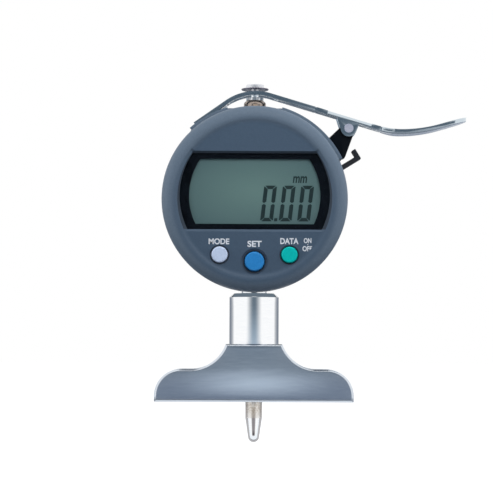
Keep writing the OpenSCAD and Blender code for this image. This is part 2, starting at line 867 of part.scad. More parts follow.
module measuring_rod() {
    bottom = point_len - reach;
    color([0.74, 0.72, 0.68]) difference() {
        union() {
            translate([0, 0, bottom]) cylinder(d = rod_dia, h = spindle_bottom - bottom);
            translate([0, 0, spindle_bottom - weld]) cylinder(d = stud_dia, h = stud_len + weld);
        }
        translate([0, 0, bottom - cut])
            cylinder(d = stud_dia + 2*fit, h = point_stud_len + cut + stud_room);
    }
}

module contact_point() {
    top = point_len - reach;
    tip = [0, point_tip_r - reach];
    color([0.7, 0.72, 0.76]) {
        rotate_extrude() {
            polygon([[0, top], [rod_dia/2, top], touch([rod_dia/2, top], tip, point_tip_r, -1), tip]);
            intersection() {
                translate(tip) circle(point_tip_r);
                translate([0, -reach - cut]) square([rod_dia, reach]);
            }
        }
        translate([0, 0, top - weld]) cylinder(d = stud_dia, h = point_stud_len + weld);
    }
}

module scale_carrier() {
    front = wall_in - carrier_room;
    color([0.3, 0.32, 0.35]) difference() {
        union() {
            translate([-carrier_w/2, -front, carrier_z])
                cube([carrier_w, front + carrier_back, carrier_h]);
            translate([spring_x - spring_dia/2, -spring_dia/2, arm_z])
                cube([-spring_x + spring_dia/2 - spindle_dia/2, spring_dia, carrier_arm_h]);
        }
        translate([0, 0, carrier_z - cut]) cylinder(d = spindle_dia + 2*fit, h = carrier_h + 2*cut);
        translate([spindle_dia/2 + pin_wall - seat_gap, 0, carrier_z + carrier_h/2]) rotate([0, 90, 0])
            cylinder(d = guide_pin_dia + 2*fit, h = carrier_w);
    }
}

module glass_scale() {
    color([0.8, 0.9, 0.92, 0.6])
        translate([-scale_w/2, carrier_back, carrier_z + carrier_h/2 - scale_len/2])
        cube([scale_w, scale_t, scale_len]);
}

module guide_pin() {
    x0 = spindle_dia/2 + pin_wall;
    color([0.6, 0.62, 0.65]) translate([x0, 0, carrier_z + carrier_h/2]) rotate([0, 90, 0])
        cylinder(d = guide_pin_dia, h = rail_x + rail_w - rail_web - 2*seat_gap - x0);
}

module return_spring() {
    bottom = anchor_z + anchor_r + seat_gap;
    top = arm_z - seat_gap;
    wire = 0.5;
    color([0.5, 0.52, 0.55]) translate([spring_x, 0, bottom]) difference() {
        cylinder(d = spring_dia, h = top - bottom);
        translate([0, 0, -cut]) cylinder(d = spring_dia - 2*wire, h = top - bottom + 2*cut);
    }
}

module top_bush() {
    color([0.72, 0.6, 0.35]) difference() {
        union() {
            translate([0, 0, top_bush_bottom]) cylinder(r = bush_head_r, h = bush_head_t);
            translate([0, 0, top_bush_bottom])
                cylinder(d = top_bush_dia, h = nut_top - nut_roof - seat_gap - top_bush_bottom);
        }
        translate([0, 0, top_bush_bottom - cut])
            cylinder(d = upper_rod_dia + 2*run, h = nut_top - top_bush_bottom);
    }
}

// Domed nut that clamps the bracket on the case
module bracket_nut() {
    color([0.7, 0.55, 0.4]) difference() {
        translate([0, 0, spot_z]) rotate_extrude() {
            square([nut_dia/2, nut_h - nut_round]);
            square([nut_dia/2 - nut_round, nut_h]);
            intersection() {
                translate([nut_dia/2 - nut_round, nut_h - nut_round]) circle(nut_round);
                translate([nut_dia/2 - nut_round, nut_h - nut_round]) square(nut_round);
            }
        }
        translate([0, 0, spot_z - cut]) cylinder(d = top_bush_dia + 2*fit, h = nut_h - nut_roof + cut);
        translate([0, 0, spot_z]) cylinder(d = upper_rod_dia + 4*run, h = nut_h + cut);
    }
}

module spindle_collar() {
    edge = 0.12;
    color([0.75, 0.72, 0.68]) translate([0, 0, collar_z]) rotate_extrude() polygon([
        [upper_rod_dia/2 + fit, 0], [collar_dia/2 - edge, 0], [collar_dia/2, edge],
        [collar_dia/2, collar_h - edge], [collar_dia/2 - edge, collar_h],
        [upper_rod_dia/2 + fit, collar_h]]);
}

module lift_washer() {
    color([0.4, 0.4, 0.44]) translate([0, 0, washer_z]) rotate_extrude() polygon([
        [screw_shank/2 + fit, 0], [washer_dia/2 - washer_t/2, 0], [washer_dia/2, washer_t/2],
        [washer_dia/2 - washer_t/4, washer_t], [screw_shank/2 + fit, washer_t]]);
}

module head_screw() {
    edge = 0.2;
    slot = 0.7;
    color([0.85, 0.86, 0.88]) difference() {
        union() {
            translate([0, 0, washer_top]) rotate_extrude() polygon([
                [0, 0], [head_dia/2, 0], [head_dia/2, head_h - edge],
                [head_dia/2 - edge, head_h], [0, head_h]]);
            translate([0, 0, washer_z - shank_len])
                cylinder(d = screw_shank, h = shank_len + washer_t + weld);
        }
        translate([-head_dia, -slot/2, head_top - 0.55*head_h]) cube([2*head_dia, slot, head_h]);
    }
}

// Ring sector about c between two radii and two angles
module arc_band(c, r0, r1, a0, a1) {
    mid = (a0 + a1)/2;
    far = 2*r1;
    translate(c) intersection() {
        difference() {
            circle(r1);
            circle(r0);
        }
        polygon([[0, 0], polar(far, a0), polar(far, mid), polar(far, a1)]);
    }
}

// Line of the bent strip at depth t below its top, from the tail's end to the pad's tip
function lever_line(t) = concat(
    [tail_start - polar(tail_len, tail_slope) - polar(t, 90 + tail_slope)],
    arc_points(crest_c, crest_r - t, 90 + tail_slope, 90 - lever_slope, 30),
    arc_points(pad_bend_c, pad_bend_r + t, -90 - lever_slope, -90, 10),
    arc_points(pad_hollow_c, pad_hollow_r + t, pad_slope/12 - 90, pad_slope - 90, 11),
    [pad_tip - polar(t, 90 + pad_slope)]);

// Side view of the bent strip
module lever_profile() {
    polygon(concat(lever_line(0), reversed(lever_line(lever_t))));
}

// Plan of the strip, its slot and its thumb pad
module lever_plan() {
    tail_x = tail_start[0] - tail_len;
    flare = 5;
    pad_x = pad_low[0] - 0.4*flare;
    difference() {
        union() {
            translate([tail_x, -lever_w/2]) square([pad_x - tail_x, lever_w]);
            polygon([[pad_x - flare, lever_w/2], [pad_x, pad_w/2], [pad_tip[0] - pad_w/2, pad_w/2],
                [pad_tip[0] - pad_w/2, -pad_w/2], [pad_x, -pad_w/2], [pad_x - flare, -lever_w/2]]);
            translate([pad_tip[0] - pad_w/2, 0]) circle(d = pad_w);
        }
        translate([slot_left + slot_w/2, -slot_w/2]) square([slot_right - slot_left - slot_w, slot_w]);
        for (x = [slot_left + slot_w/2, slot_right - slot_w/2]) translate([x, 0]) circle(d = slot_w);
    }
}

module ear_outline() {
    edge = long_start - long_normal*lever_t/2;
    left = edge + long_dir*(pivot_along - ear_left);
    right = edge + long_dir*(pivot_along + ear_right);
    polygon([left, touch(left, pivot, ear_r, 1), touch(right, pivot, ear_r, -1), right]);
    translate(pivot) circle(ear_r);
}

// Frame on the long side's top face: x along it from the pivot, z out of it
module on_long_side() {
    foot = long_start + long_dir*pivot_along;
    translate([foot[0], 0, foot[1]]) rotate([0, lever_slope, 0]) children();
}

// Rounds the top edge where an ear is bent down
module ear_bend_cut() {
    translate([-fold_left, 0, 0]) rotate([0, 90, 0]) linear_extrude(fold_left + fold_right) difference() {
        translate([-cut, -lever_w/2 - cut]) square([ear_t + cut, ear_t + cut]);
        translate([ear_t, ear_t - lever_w/2]) circle(ear_t);
    }
}

module lifting_lever() {
    nick_w = 0.4;
    nick_depth = 0.8;
    color([0.42, 0.47, 0.53]) difference() {
        union() {
            intersection() {
                across(pad_w + cut) lever_profile();
                translate([0, 0, body_z]) linear_extrude(2*bezel_r) lever_plan();
            }
            for (s = [-1, 1]) translate([0, s*(lever_w - ear_t)/2, 0]) across(ear_t) ear_outline();
        }
        on_long_side() for (n = [0, 1]) mirror([0, n, 0]) {
            ear_bend_cut();
            for (x = [-nick_left, nick_right])
                translate([x - nick_w/2, -lever_w/2 - cut, -lever_t - cut])
                    cube([nick_w, nick_depth + cut, lever_t + 2*cut]);
        }
        translate([pivot[0], 0, pivot[1]]) rotate([90, 0, 0])
            cylinder(d = pin_dia + 2*fit, h = 2*lever_w, center = true);
    }
}

module pivot_pin() {
    head_t = 0.45;
    shank = lever_w + 2*fit;
    color([0.7, 0.72, 0.76]) translate([pivot[0], 0, pivot[1]]) rotate([90, 0, 0]) {
        cylinder(d = pin_dia, h = shank + head_t, center = true);
        for (s = [-1, 1]) translate([0, 0, s*(shank + head_t)/2])
            cylinder(d = pin_head_dia, h = head_t, center = true);
    }
}

module saddle_outline() {
    middle = [0, body_z];
    difference() {
        arc_band(middle, saddle_in, saddle_out, saddle_right, saddle_left);
        translate([-flat_w/2, spot_z]) square([flat_w, saddle_t]);
    }
}

module arm_outline() {
    knee_rise = 1.1;
    knee = case_point(saddle_out + knee_rise, saddle_right);
    root = saddle_in + weld;
    shoulder = pivot + arm_shoulder;
    polygon([case_point(root, arm_left), case_point(saddle_out, arm_left), shoulder,
        touch(shoulder, pivot, arm_boss_r, -1), touch(knee, pivot, arm_boss_r, 1), knee,
        case_point(saddle_out - weld, saddle_right), case_point(root, saddle_right)]);
}

module bracket_arm() {
    color([0.06, 0.07, 0.09]) difference() {
        union() {
            across(arm_w) arm_outline();
            translate([pivot[0], 0, pivot[1]]) rotate([90, 0, 0])
                cylinder(r = arm_boss_r, h = arm_w, center = true);
        }
        translate([0, 0, body_z]) rotate([90, 0, 0])
            cylinder(r = saddle_out + fit, h = 2*arm_w, center = true);
        translate([pivot[0], 0, pivot[1]]) rotate([90, 0, 0])
            cylinder(d = pin_dia + 2*run, h = 2*arm_w, center = true);
    }
}

module lever_bracket() {
    over = 2;
    groove_start = 90 + asin(flat_w/2/saddle_out) - over;
    color([0.33, 0.38, 0.45]) difference() {
        across(bracket_w) saddle_outline();
        across(lever_w + 2*groove_gap)
            arc_band([0, body_z], groove_floor, saddle_out + cut, groove_start, saddle_left + over);
        translate([0, 0, body_z]) cylinder(d = top_bush_dia + 2*fit, h = case_r + saddle_t + 2*cut);
    }
}

module port_connector() {
    front = case_r - plug_depth - 2*seat_gap;
    depth = 5.3;
    wall = 1;
    socket = 3;
    color([0.15, 0.16, 0.18]) facing() rotate([0, 0, port_angle]) difference() {
        translate([front - depth, -port_h/2 - wall, -port_w/2 - wall])
            cube([depth, port_h + 2*wall, port_w/2 + wall + wall_in]);
        translate([front - socket, wall - port_h/2, -port_w/4])
            cube([socket + cut, port_h - 2*wall, port_w/2]);
    }
}

// Cover of the data port, with a hooked tab to pull it by
module port_cover() {
    plate_in = case_r + run;
    plate_out = plate_in + port_plate_t;
    lip = 1.5;
    top_lip = 2;
    half_w = port_w/2 + lip;
    hook_t = 0.9*tab_t;
    color([0.07, 0.08, 0.1]) facing() {
        rotate([0, 0, port_angle]) {
            intersection() {
                ring(plate_out, plate_in, -half_w, half_w);
                translate([case_r/2, -port_h/2 - lip, -half_w])
                    cube([case_r, port_h + lip + top_lip, 2*half_w]);
            }
            translate([case_r - plug_depth, seat_gap - port_h/2, seat_gap - port_w/2])
                cube([plug_depth + port_plate_t/2, port_h - 2*seat_gap, port_w - 2*seat_gap]);
        }
        translate(polar(plate_in + 0.85*port_plate_t, tab_root)) rotate(tab_angle) translate([0, 0, -tab_w/2]) {
            cube([tab_len, tab_t, tab_w]);
            translate([tab_len - hook_t, 0, 0]) cube([hook_t, tab_hook, tab_w]);
        }
    }
}

base();
sleeve();
clamp_screw();
stem();
lower_bush();
rear_case();
back_cover();
cover_screws();
battery();
battery_contact();
battery_cap();
sensor_board();
guide_rail();
swivel_seal();
retaining_ring();
display_housing();
display_back_plate();
housing_screws();
window_mask();
display_window();
lcd_panel();
contact_strips();
circuit_board();
key_switches();
mode_button();
set_button();
data_button();
spindle();
measuring_rod();
contact_point();
scale_carrier();
glass_scale();
guide_pin();
return_spring();
top_bush();
bracket_nut();
spindle_collar();
lift_washer();
head_screw();
lever_bracket();
bracket_arm();
lifting_lever();
pivot_pin();
port_connector();
port_cover();
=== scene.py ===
import json
import math

import bmesh
import bpy
from mathutils import Matrix, Vector


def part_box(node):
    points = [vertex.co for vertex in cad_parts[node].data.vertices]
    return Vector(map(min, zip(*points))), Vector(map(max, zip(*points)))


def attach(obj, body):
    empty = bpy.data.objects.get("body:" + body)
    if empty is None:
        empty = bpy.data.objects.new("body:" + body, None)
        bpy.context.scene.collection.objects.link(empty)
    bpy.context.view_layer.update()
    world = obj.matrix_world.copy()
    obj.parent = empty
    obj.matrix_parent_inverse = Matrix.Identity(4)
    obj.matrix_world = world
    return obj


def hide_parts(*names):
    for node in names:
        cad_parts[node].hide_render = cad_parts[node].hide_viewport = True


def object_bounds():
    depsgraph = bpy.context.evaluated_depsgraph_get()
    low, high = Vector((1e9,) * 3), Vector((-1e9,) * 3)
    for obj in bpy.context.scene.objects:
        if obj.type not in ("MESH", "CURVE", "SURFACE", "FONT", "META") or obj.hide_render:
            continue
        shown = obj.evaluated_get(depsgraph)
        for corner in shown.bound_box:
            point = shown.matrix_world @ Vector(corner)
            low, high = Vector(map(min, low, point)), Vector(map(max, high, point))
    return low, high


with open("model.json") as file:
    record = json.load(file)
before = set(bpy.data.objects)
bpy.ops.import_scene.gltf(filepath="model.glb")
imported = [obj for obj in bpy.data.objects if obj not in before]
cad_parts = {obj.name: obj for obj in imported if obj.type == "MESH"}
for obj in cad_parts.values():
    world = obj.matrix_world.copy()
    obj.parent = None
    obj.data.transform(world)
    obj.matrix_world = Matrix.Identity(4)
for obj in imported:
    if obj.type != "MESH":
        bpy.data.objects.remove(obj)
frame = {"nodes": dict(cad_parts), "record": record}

mm = 0.001
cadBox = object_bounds()
nodes = frame["nodes"]
scene = bpy.context.scene
scene.view_settings.view_transform = "Standard"
print("frame loaded, nodes:", len(nodes))


# small tools

def hexToLinear(code):
    parts = [int(code[i:i + 2], 16) / 255 for i in (0, 2, 4)]
    return [c / 12.92 if c <= 0.04045 else ((c + 0.055) / 1.055) ** 2.4 for c in parts] + [1]


def addNode(tree, kind, links=None, inputs=None, **settings):
    node = tree.nodes.new(kind)
    for name, value in settings.items():
        setattr(node, name, value)
    for name, value in (inputs or {}).items():
        node.inputs[name].default_value = value
    for name, source in (links or {}).items():
        tree.links.new(source, node.inputs[name])
    return node


def newMaterial(name, colour, roughness, sockets=None):
    material = bpy.data.materials.new(name)
    material.use_nodes = True
    tree = material.node_tree
    shader = tree.nodes["Principled BSDF"]
    shader.inputs["Base Color"].default_value = hexToLinear(colour)
    shader.inputs["Roughness"].default_value = roughness
    for socket, value in (sockets or {}).items():
        shader.inputs[socket].default_value = value
    return material, tree, shader


grain = {"detail": 3, "ramp": (0.3, 0.7), "lift": 0.05}


# a noise in millimetres that tints the colour and lifts the surface a little
def addGrain(tree, shader, size, dark, light, bump, stretch=(1, 1, 1), roughness=None):
    place = addNode(tree, "ShaderNodeTexCoord").outputs["Object"]
    scaled = addNode(tree, "ShaderNodeMapping", {"Vector": place},
                     {"Scale": [1 / (size * mm * s) for s in stretch]})
    noise = addNode(tree, "ShaderNodeTexNoise", {"Vector": scaled.outputs[0]},
                    {"Scale": 1.0, "Detail": grain["detail"]})
    value = noise.outputs["Fac"]
    tint = addNode(tree, "ShaderNodeValToRGB", {"Fac": value})
    for stop, position, colour in zip(tint.color_ramp.elements, grain["ramp"], (dark, light)):
        stop.position = position
        stop.color = hexToLinear(colour)
    tree.links.new(tint.outputs[0], shader.inputs["Base Color"])
    lift = addNode(tree, "ShaderNodeBump", {"Height": value},
                   {"Strength": bump, "Distance": grain["lift"] * mm})
    tree.links.new(lift.outputs[0], shader.inputs["Normal"])
    if roughness:
        spread = addNode(tree, "ShaderNodeMapRange", {"Value": value},
                         {"To Min": roughness[0], "To Max": roughness[1]})
        tree.links.new(spread.outputs[0], shader.inputs["Roughness"])
    return tint


# materials

faceOn = (1, 0, 1)  # leaves the depth out of a distance


def groundSteel():
    # surface-ground tool steel: pale, satin, with fine lines along the base
    material, tree, shader = newMaterial("ground_tool_steel", "d5dce5", 0.2, {"Metallic": 1.0})
    addGrain(tree, shader, 0.35, "d0d7e1", "d9e0e8", 0.03, stretch=(14, 1, 1), roughness=(0.18, 0.23))
    return material


def polishedSteel():
    # hard chrome over turned steel: mirror bright, with faint lines round the axis
    material, tree, shader = newMaterial("polished_chrome_steel", "f9fafc", 0.07, {"Metallic": 1.0})
    addGrain(tree, shader, 0.25, "f6f8fb", "fcfdfe", 0.01, stretch=(12, 12, 1), roughness=(0.05, 0.09))
    return material


rod = {"polish": (-5.3, -2.5), "polished": "eeecea"}


def grainySteel():
    # fine blasted steel, a little warm, polished towards the point
    material, tree, shader = newMaterial("blasted_carbide_rod", "e0dcd5", 0.3, {"Metallic": 1.0})
    tint = addGrain(tree, shader, 0.45, "b9b0a5", "f0ece6", 0.4, roughness=(0.24, 0.4))
    place = addNode(tree, "ShaderNodeSeparateXYZ", {0: addNode(tree, "ShaderNodeTexCoord").outputs["Object"]})
    polish = addNode(tree, "ShaderNodeMapRange", {"Value": place.outputs["Z"]},
                     {"From Min": rod["polish"][0] * mm, "From Max": rod["polish"][1] * mm})
    blend = addNode(tree, "ShaderNodeMix", data_type="RGBA")
    tree.links.new(polish.outputs[0], blend.inputs[0])
    blend.inputs[6].default_value = hexToLinear(rod["polished"])  # 6 and 7 are the mix's two colours
    tree.links.new(tint.outputs[0], blend.inputs[7])
    tree.links.new(blend.outputs[2], shader.inputs["Base Color"])
    return material


def platedSteel(name, dark, light, haze=(0.22, 0.34)):
    # plated steel, as it leaves the bath: slightly cloudy
    material, tree, shader = newMaterial(name, dark, haze[0], {"Metallic": 1.0})
    addGrain(tree, shader, 0.8, dark, light, 0.02, roughness=haze)
    return material


def leverSteel():
    # pressed spring steel, polished: slate where it faces dark, white where it faces the light
    material, tree, shader = newMaterial("pressed_spring_steel", "cdd8df", 0.15, {"Metallic": 1.0})
    addGrain(tree, shader, 1.5, "c8d4dc", "d2dce3", 0.004, stretch=(6, 1, 1), roughness=(0.13, 0.17))
    return material


# the face's axis, the rim of its dish, the dish's painted shade, the heights between which that rim widens
# and by how much, the painted shade in the gap round each button (its width and depth), and the window's
# seat: its radius, its half height round the window's middle and its painted shade
housing = {
    "axis": 64.4, "dish": (23.2, 25.4), "dishShade": "c0cdd8", "lower": (92, 36, 2.8),
    "ring": 0.3, "ringShade": 0.3, "windowMiddle": 66.9, "seat": (24.42, 12.37), "seatShade": 0.36,
}


def housingPaint():
    # sprayed blue-grey enamel on a die casting: satin with a fine orange peel, with painted shade in the dish
    # and on the rim below it, and nearly black painted shade on the top and sides of the window's sloped seat
    # and round the buttons
    material, tree, shader = newMaterial("sprayed_grey_enamel", "586879", 0.5, {"Specular IOR Level": 0.4})
    tint = addGrain(tree, shader, 0.45, "556576", "5b6b7c", 0.08, roughness=(0.46, 0.56))
    place = addNode(tree, "ShaderNodeTexCoord").outputs["Object"]
    aside = addNode(tree, "ShaderNodeVectorMath", {0: place}, {1: (0, 0, housing["axis"] * mm)},
                    operation="SUBTRACT")
    aside = addNode(tree, "ShaderNodeVectorMath", {0: aside.outputs[0]}, {1: faceOn}, operation="MULTIPLY")
    far = addNode(tree, "ShaderNodeVectorMath", {0: aside.outputs[0]}, operation="LENGTH").outputs["Value"]
    height = addNode(tree, "ShaderNodeSeparateXYZ", {0: place}).outputs["Z"]
    # painted shade, darker towards the bottom: from the height top down to foot the dish's shade reaches up
    # to wider mm farther out, onto the rim
    top, foot, wider = housing["lower"]
    lower = addNode(tree, "ShaderNodeMapRange", {"Value": height},
                    {"From Min": top * mm, "From Max": foot * mm, "To Max": wider * mm})
    near = addNode(tree, "ShaderNodeMath", {0: far, 1: lower.outputs[0]}, operation="SUBTRACT")
    dish = addNode(tree, "ShaderNodeMapRange", {"Value": near.outputs[0]},
                   {"From Min": housing["dish"][0] * mm, "From Max": housing["dish"][1] * mm},
                   interpolation_type="SMOOTHSTEP")
    # painted shade: inside the rim of the dish the enamel's colour is multiplied by the dish's darker shade
    # colour
    shade = addNode(tree, "ShaderNodeMix", data_type="RGBA")
    tree.links.new(dish.outputs[0], shade.inputs[0])
    shade.inputs[6].default_value = hexToLinear(housing["dishShade"])
    shade.inputs[7].default_value = (1, 1, 1, 1)
    # painted shade on the window's sloped seat, on its top and sides only, as its lower edge faces the light
    height = addNode(tree, "ShaderNodeMath", {0: height}, {1: housing["windowMiddle"] * mm},
                     operation="SUBTRACT")
    height = addNode(tree, "ShaderNodeMath", {0: height.outputs[0]}, operation="ABSOLUTE")
    inside = addNode(tree, "ShaderNodeMath", {0: far}, {1: housing["seat"][0] * mm}, operation="LESS_THAN")
    between = addNode(tree, "ShaderNodeMath", {0: height.outputs[0]}, {1: housing["seat"][1] * mm},
                      operation="LESS_THAN")
    dark = addNode(tree, "ShaderNodeMath", {0: inside.outputs[0], 1: between.outputs[0]},
                   operation="MULTIPLY")
    dark = addNode(tree, "ShaderNodeMapRange", {"Value": dark.outputs[0]},
                   {"To Min": 1.0, "To Max": housing["seatShade"]})
    # painted shade in the gap round each button: the enamel darkens to ringShade over the last ring mm inside
    # each button's reach
    for name in ("mode_button", "set_button", "data_button"):
        low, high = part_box(name)
        off = addNode(tree, "ShaderNodeVectorMath", {0: place}, {1: (low + high) / 2}, operation="SUBTRACT")
        off = addNode(tree, "ShaderNodeVectorMath", {0: off.outputs[0]}, {1: faceOn}, operation="MULTIPLY")
        off = addNode(tree, "ShaderNodeVectorMath", {0: off.outputs[0]}, operation="LENGTH")
        reach = (high.x - low.x) / 2
        ring = addNode(tree, "ShaderNodeMapRange", {"Value": off.outputs["Value"]},
                       {"From Min": reach - housing["ring"] * mm, "From Max": reach,
                        "To Min": housing["ringShade"]}, interpolation_type="SMOOTHSTEP")
        dark = addNode(tree, "ShaderNodeMath", {0: dark.outputs[0], 1: ring.outputs[0]}, operation="MULTIPLY")
    paint = addNode(tree, "ShaderNodeVectorMath", {0: tint.outputs[0], 1: shade.outputs[2]},
                    operation="MULTIPLY")
    paint = addNode(tree, "ShaderNodeVectorMath", {"Vector": paint.outputs[0], "Scale": dark.outputs[0]},
                    operation="SCALE")
    tree.links.new(paint.outputs[0], shader.inputs["Base Color"])
    return material


def blackCoat(name, dark, light, gloss=0.5):
    # black lacquer on pressed steel: nearly black, edges catch the light
    material, tree, shader = newMaterial(name, dark, 0.4, {"Specular IOR Level": gloss})
    addGrain(tree, shader, 0.4, dark, light, 0.12, roughness=(0.33, 0.48))
    return material


def mouldedPlastic(name, colour, dark, light, roughness, gloss=0.5):
    # injection moulded ABS: smooth, with a faint flow in the colour
    material, tree, shader = newMaterial(name, colour, roughness, {"IOR": 1.53, "Specular IOR Level": gloss})
    addGrain(tree, shader, 0.6, dark, light, 0.04, roughness=(roughness * 0.85, roughness * 1.15))
    return material


def mouldedRubber():
    # nitrile rubber, matt black
    material, tree, shader = newMaterial("moulded_nitrile_rubber", "15181d", 0.62)
    addGrain(tree, shader, 0.3, "111419", "1b1f25", 0.2, roughness=(0.55, 0.7))
    return material


def turnedBrass(name, dark, light):
    # turned brass, warm, with lines round the axis
    material, tree, shader = newMaterial(name, dark, 0.24, {"Metallic": 1.0})
    addGrain(tree, shader, 0.2, dark, light, 0.06, stretch=(10, 10, 1), roughness=(0.18, 0.3))
    return material


def clearWindow():
    # hard-coated acrylic: clear, with only a thin gloss
    return newMaterial("clear_acrylic", "0a1014", 0.03,
                       {"Alpha": 0.05, "IOR": 1.49, "Specular IOR Level": 0.3})[0]


ruling = {"pitch": 1.0, "line": "6e7c84", "glass": "dcebec"}
waveLength = 0.314  # of the wave node at scale 1


def ruledGlass():
    # float glass with chrome lines across it, 1 mm from one to the next so that they show
    material, tree, shader = newMaterial("ruled_float_glass", "d5e6e8", 0.06, {"IOR": 1.52})
    place = addNode(tree, "ShaderNodeTexCoord").outputs["Object"]
    lines = addNode(tree, "ShaderNodeTexWave", {"Vector": place},
                    {"Scale": waveLength / (ruling["pitch"] * mm)}, bands_direction="Z")
    tint = addNode(tree, "ShaderNodeValToRGB", {"Fac": lines.outputs["Fac"]})
    tint.color_ramp.elements[0].color = hexToLinear(ruling["line"])
    tint.color_ramp.elements[1].color = hexToLinear(ruling["glass"])
    tree.links.new(tint.outputs[0], shader.inputs["Base Color"])
    return material


lcdLow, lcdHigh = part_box("lcd_panel")
# the panel's painted shade: how far it spreads from the middle, and its shades from the middle out to the
# frame
panel = {"spread": (26, 1000, 13), "shades": ((0.1, "678683"), (1.0, "536f72"))}


def displayGlass():
    # reflective liquid crystal panel: grey-green, painted lighter in the middle and with painted shade
    # towards its frame
    material, tree, shader = newMaterial("liquid_crystal_panel", "64807a", 0.5)
    place = addNode(tree, "ShaderNodeTexCoord").outputs["Object"]
    centre, size = (lcdLow + lcdHigh) / 2, [s * mm for s in panel["spread"]]
    local = addNode(tree, "ShaderNodeMapping", {"Vector": place},
                    {"Location": [-c / s for c, s in zip(centre, size)], "Scale": [1 / s for s in size]})
    flat = addNode(tree, "ShaderNodeVectorMath", {0: local.outputs[0]}, {1: faceOn}, operation="MULTIPLY")
    far = addNode(tree, "ShaderNodeVectorMath", {0: flat.outputs[0]}, operation="LENGTH")
    tint = addNode(tree, "ShaderNodeValToRGB", {"Fac": far.outputs["Value"]})
    for stop, (position, colour) in zip(tint.color_ramp.elements, panel["shades"]):
        stop.position = position
        stop.color = hexToLinear(colour)
    tree.links.new(tint.outputs[0], shader.inputs["Base Color"])
    return material


def liquidCrystal():
    # switched-on liquid crystal: dark grey-green, matt
    material, tree, shader = newMaterial("dark_liquid_crystal", "14292b", 0.5)
    addGrain(tree, shader, 0.5, "122628", "172d2f", 0.02)
    return material


def printedInk():
    # screen-printed light grey ink, matt and a little uneven
    material, tree, shader = newMaterial("light_grey_ink", "e4e8ee", 0.55)
    addGrain(tree, shader, 0.2, "ccd2da", "dbdfe6", 0.05)
    return material


def solderMask():
    # green solder mask over glass fibre board
    material, tree, shader = newMaterial("green_solder_mask", "1d5038", 0.35)
    addGrain(tree, shader, 1.2, "1a4a33", "23583f", 0.08)
    return material


finishes = {
    "base_steel": groundSteel(),
    "polished_steel": polishedSteel(),
    "black_screw": blackCoat("blackened_steel", "22242a", "2c2f35"),
    "bush_bronze": turnedBrass("sintered_bronze", "a8824a", "bd965c"),
    "case_black": blackCoat("satin_dark_enamel", "30363f", "39404a"),
    "plated_steel": platedSteel("zinc_plated_steel", "b9c0ca", "ccd2d9"),
    "cell_steel": platedSteel("nickel_plated_can", "c6c8c9", "d6d7d7"),
    "contact_brass": turnedBrass("gold_plated_strip", "c2a45c", "d6bb76"),
    "cap_plastic": mouldedPlastic("black_moulded_abs", "2b2e33", "282b30", "303439", 0.5),
    "board_green": solderMask(),
    "seal_rubber": mouldedRubber(),
    "housing_blue_grey": housingPaint(),
    "mask_black": mouldedPlastic("black_screen_print", "070d15", "060b13", "091018", 0.5, 0.1),
    "window_clear": clearWindow(),
    "lcd_grey_green": displayGlass(),
    "strip_rubber": mouldedPlastic("conductive_rubber_strip", "c88c86", "c08580", "d0968f", 0.6),
    "button_pale": mouldedPlastic("pale_lavender_abs", "c1d1ec", "bdcee9", "c6d5ef", 0.34, 0.3),
    "button_blue": mouldedPlastic("blue_abs", "2680c6", "237cc2", "2b86cb", 0.34, 0.3),
    "button_teal": mouldedPlastic("teal_abs", "00b6b2", "00b2af", "00beb9", 0.34, 0.15),
    "rod_steel": grainySteel(),
    "scale_glass": ruledGlass(),
    "spring_steel": platedSteel("drawn_spring_wire", "868c94", "9a9fa6"),
    "nut_brass": turnedBrass("turned_red_brass", "9b8e85", "b6a9a0"),
    "washer_steel": platedSteel("darkened_washer_steel", "6f6d79", "827f8b"),
    "bracket_black": blackCoat("black_lacquer", "03070d", "080d14", 0.15),
    "lever_steel": leverSteel(),
    "port_black": mouldedPlastic("black_port_moulding", "1c1f24", "191c21", "22262b", 0.5),
    "cover_black": mouldedRubber(),
}
ownFinish = {  # two nodes that the photo shows brighter than the rest of their slot
    "head_screw": platedSteel("satin_nickel", "eceef2", "f4f5f8", haze=(0.5, 0.6)),
    "pivot_pin": platedSteel("burnished_rivet_steel", "dcdff0", "e8eaf6", haze=(0.55, 0.65)),
}
slotOf = {s["node"]: s["material_slot"] for s in frame["record"]["subparts"]}
for name, node in nodes.items():
    node.data.materials.clear()
    node.data.materials.append(ownFinish.get(name) or finishes[slotOf[name]])
print("finishes made:", len(finishes) + len(ownFinish))


# pieces that are drawn here

weld = 0.001  # points nearer than this, in mm, are one


def finishPiece(name, bm, slotName, body, material=None, replaced=()):
    bmesh.ops.remove_doubles(bm, verts=bm.verts, dist=weld * mm)
    bmesh.ops.recalc_face_normals(bm, faces=bm.faces)
    mesh = bpy.data.meshes.new(name)
    bm.to_mesh(mesh)
    bm.free()
    mesh.materials.append(material or finishes[slotName])
    piece = bpy.data.objects.new(name, mesh)
    scene.collection.objects.link(piece)
    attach(piece, body)
    if replaced:
        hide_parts(*replaced)
    return piece


def newVerts(made):
    return [v for v in made["geom"] if isinstance(v, bmesh.types.BMVert)]


bodyOf = {n: body for body, names in frame["record"]["behaviour"]["bodies"].items() for n in names}
softEdges = {
    "widths": {"base": 0.15, "lifting_lever": 0.2, "bracket_arm": 0.45, "port_cover": 0.25,
               "lever_bracket": 0.2},
    "sharp": math.radians(35), "level": math.radians(1), "steps": 3, "broad": 9,
}


